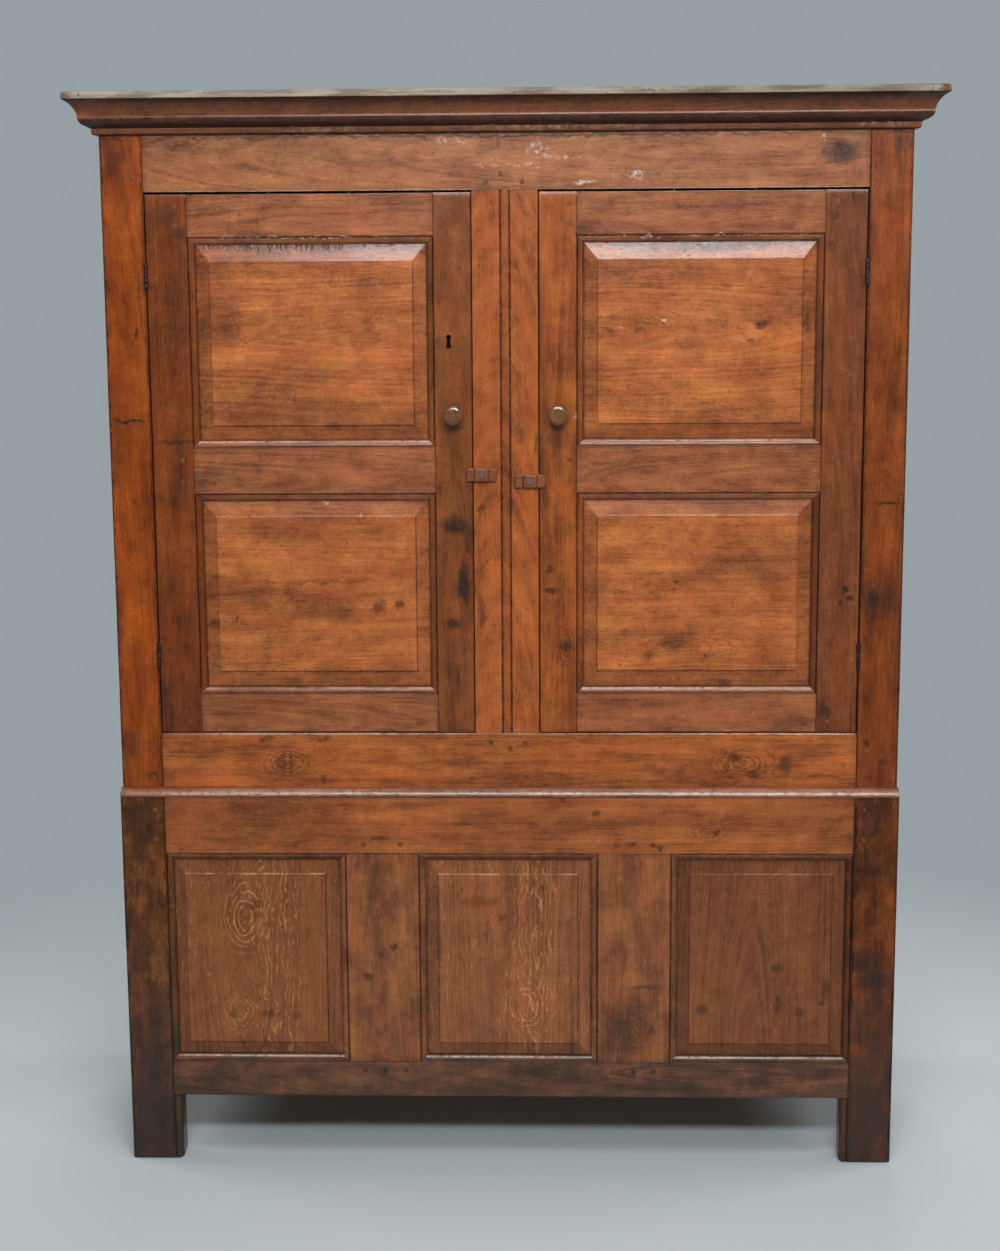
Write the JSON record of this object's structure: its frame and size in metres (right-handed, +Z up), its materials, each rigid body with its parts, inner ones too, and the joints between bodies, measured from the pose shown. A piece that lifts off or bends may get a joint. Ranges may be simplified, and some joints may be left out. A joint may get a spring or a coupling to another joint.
{
  "type": "linen press",
  "caption": "Tall two-stage oak linen press: panelled base on legs, shelved upper cupboard behind hinged fielded-panel doors, turned knobs, turn buttons, moulded cornice.",
  "frame": {"origin": "on the floor, under the middle of the whole press's width and depth", "axes": "+Z up; -Y is the front, with the doors; +X is the viewer's right"},
  "size_m": [1.531, 0.584, 1.965],
  "materials": {
    "oak_front_frame": "old waxed oak, warm orange-brown, satin",
    "oak_cornice": "old waxed oak, dark reddish brown, satin",
    "oak_door_frame": "old waxed oak, dark brown, satin",
    "oak_door_panel": "old waxed oak, bright orange-brown, satin",
    "oak_base_frame": "old waxed oak, dark brown, satin",
    "oak_base_panel": "old waxed oak with ray figure, satin",
    "oak_carcass": "old oak, plain brown, dull",
    "oak_inside": "unfinished old oak, dry, dull",
    "oak_peg": "dark end-grain pegs",
    "turned_wood": "dark polished turned wood",
    "iron": "blackened wrought iron",
    "steel_screw": "dull worn steel"
  },
  "bodies": {
    "carcass": {"base_back_boards": "oak_inside", "base_back_frame": "oak_carcass", "base_boards": "oak_inside", "base_bottom_rail": "oak_base_frame", "base_leg_left": "oak_base_frame", "base_leg_right": "oak_base_frame", "base_muntins": "oak_base_frame", "base_panel_centre": "oak_base_panel", "base_panel_left": "oak_base_panel", "base_panel_right": "oak_base_panel", "base_side_panels": "oak_carcass", "base_side_rails": "oak_carcass", "base_top_rail": "oak_base_frame", "bearers": "oak_inside", "centre_muntin": "oak_front_frame", "cornice_front": "oak_cornice", "cornice_returns": "oak_cornice", "door_stops": "oak_inside", "floor_boards": "oak_inside", "frame_pegs": "oak_peg", "hinge_leaves_frame": "iron", "hinge_pins": "iron", "shelf_lower": "oak_inside", "shelf_upper": "oak_inside", "top_boards": "oak_inside", "turn_button_screws": "steel_screw", "upper_back_boards": "oak_inside", "upper_back_frame": "oak_carcass", "upper_bottom_rail": "oak_front_frame", "upper_post_left": "oak_front_frame", "upper_post_right": "oak_front_frame", "upper_side_panels": "oak_carcass", "upper_side_rails": "oak_carcass", "upper_top_rail": "oak_front_frame", "waist_moulding": "oak_base_frame"},
    "left_door": {"left_door_lock_stile": "oak_door_frame", "left_door_hinge_stile": "oak_door_frame", "left_door_top_rail": "oak_door_frame", "left_door_middle_rail": "oak_door_frame", "left_door_bottom_rail": "oak_door_frame", "left_door_upper_panel": "oak_door_panel", "left_door_lower_panel": "oak_door_panel", "left_door_pegs": "oak_peg", "left_knob": "turned_wood", "hinge_leaves_left_door": "iron", "lock_case": "iron"},
    "right_door": {"right_door_lock_stile": "oak_door_frame", "right_door_hinge_stile": "oak_door_frame", "right_door_top_rail": "oak_door_frame", "right_door_middle_rail": "oak_door_frame", "right_door_bottom_rail": "oak_door_frame", "right_door_upper_panel": "oak_door_panel", "right_door_lower_panel": "oak_door_panel", "right_door_pegs": "oak_peg", "right_knob": "turned_wood", "hinge_leaves_right_door": "iron"},
    "left_turn_button": {"left_turn_button": "turned_wood"},
    "right_turn_button": {"right_turn_button": "turned_wood"},
    "lock_bolt": {"lock_bolt": "iron"},
    "well_cover": {"well_cover": "oak_inside"}
  },
  "joints": [
    {"name": "left_door_hinge", "type": "hinge", "parent": "carcass", "child": "left_door", "pos_m": [-0.6347, -0.242, 1.31], "axis": [0, 0, -1], "range_deg": [0, 120]},
    {"name": "right_door_hinge", "type": "hinge", "parent": "carcass", "child": "right_door", "pos_m": [0.6347, -0.242, 1.31], "axis": [0, 0, 1], "range_deg": [0, 120]},
    {"name": "left_button_turn", "type": "hinge", "parent": "carcass", "child": "left_turn_button", "pos_m": [-0.0436, -0.242, 1.298], "axis": [0, 1, 0], "continuous": true},
    {"name": "right_button_turn", "type": "hinge", "parent": "carcass", "child": "right_turn_button", "pos_m": [0.0436, -0.242, 1.2865], "axis": [0, 1, 0], "continuous": true},
    {"name": "lock_bolt_slide", "type": "slide", "parent": "left_door", "child": "lock_bolt", "axis": [1, 0, 0], "range_m": [0, 0.014]},
    {"name": "well_cover_lift", "type": "slide", "parent": "carcass", "child": "well_cover", "axis": [0, 0, 1], "range_m": [0, 0.25]}
  ]
}
